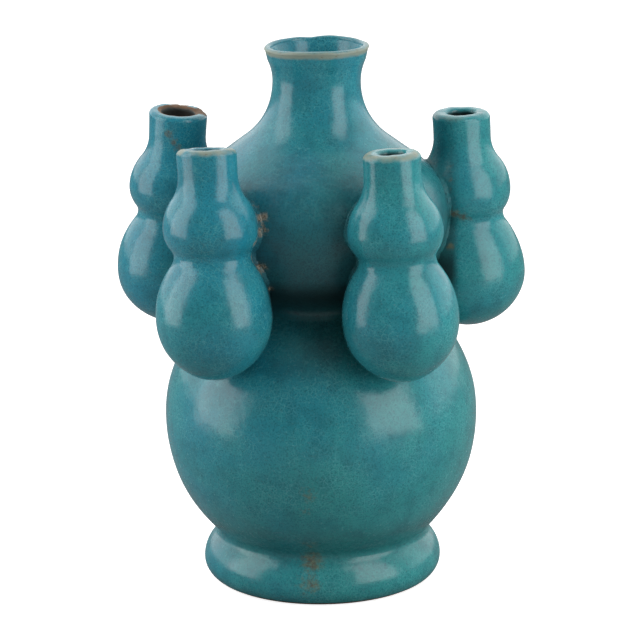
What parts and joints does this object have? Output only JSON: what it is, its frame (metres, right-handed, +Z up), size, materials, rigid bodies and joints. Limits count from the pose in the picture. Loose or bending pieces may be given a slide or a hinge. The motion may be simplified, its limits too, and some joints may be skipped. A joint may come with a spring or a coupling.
{
  "type": "tulip vase",
  "caption": "Turquoise crackle-glazed double gourd vase on a rounded foot, with a ring of small double gourd vases luted round its waist, each with its own spout.",
  "frame": {"origin": "centre of the foot ring, on the surface it rests on", "axes": "+Z up through the mouth, -Y the front, between the two small gourds that show most, +X to the right"},
  "size_m": [0.1583, 0.1546, 0.21],
  "materials": {
    "turquoise_glaze": "glossy crackle glaze",
    "luting_slip": "thin worn glaze over slip"
  },
  "bodies": {
    "root": {"back_gourd_bulb": "turquoise_glaze", "back_gourd_lower_slip": "luting_slip", "back_gourd_spout": "turquoise_glaze", "back_gourd_upper_slip": "luting_slip", "back_gourd_waist_slip": "luting_slip", "back_left_gourd_bulb": "turquoise_glaze", "back_left_gourd_lower_slip": "luting_slip", "back_left_gourd_spout": "turquoise_glaze", "back_left_gourd_upper_slip": "luting_slip", "back_left_gourd_waist_slip": "luting_slip", "back_right_gourd_bulb": "turquoise_glaze", "back_right_gourd_lower_slip": "luting_slip", "back_right_gourd_spout": "turquoise_glaze", "back_right_gourd_upper_slip": "luting_slip", "back_right_gourd_waist_slip": "luting_slip", "belly_seam_slip": "luting_slip", "foot_ring": "turquoise_glaze", "foot_seam_slip": "luting_slip", "front_left_gourd_bulb": "turquoise_glaze", "front_left_gourd_lower_slip": "luting_slip", "front_left_gourd_spout": "turquoise_glaze", "front_left_gourd_upper_slip": "luting_slip", "front_left_gourd_waist_slip": "luting_slip", "front_right_gourd_bulb": "turquoise_glaze", "front_right_gourd_lower_slip": "luting_slip", "front_right_gourd_spout": "turquoise_glaze", "front_right_gourd_upper_slip": "luting_slip", "front_right_gourd_waist_slip": "luting_slip", "lower_bulb_base": "turquoise_glaze", "lower_bulb_shoulder": "turquoise_glaze", "neck_and_mouth": "turquoise_glaze", "neck_seam_slip": "luting_slip", "upper_bulb": "turquoise_glaze", "waist_seam_slip": "luting_slip"}
  },
  "joints": []
}
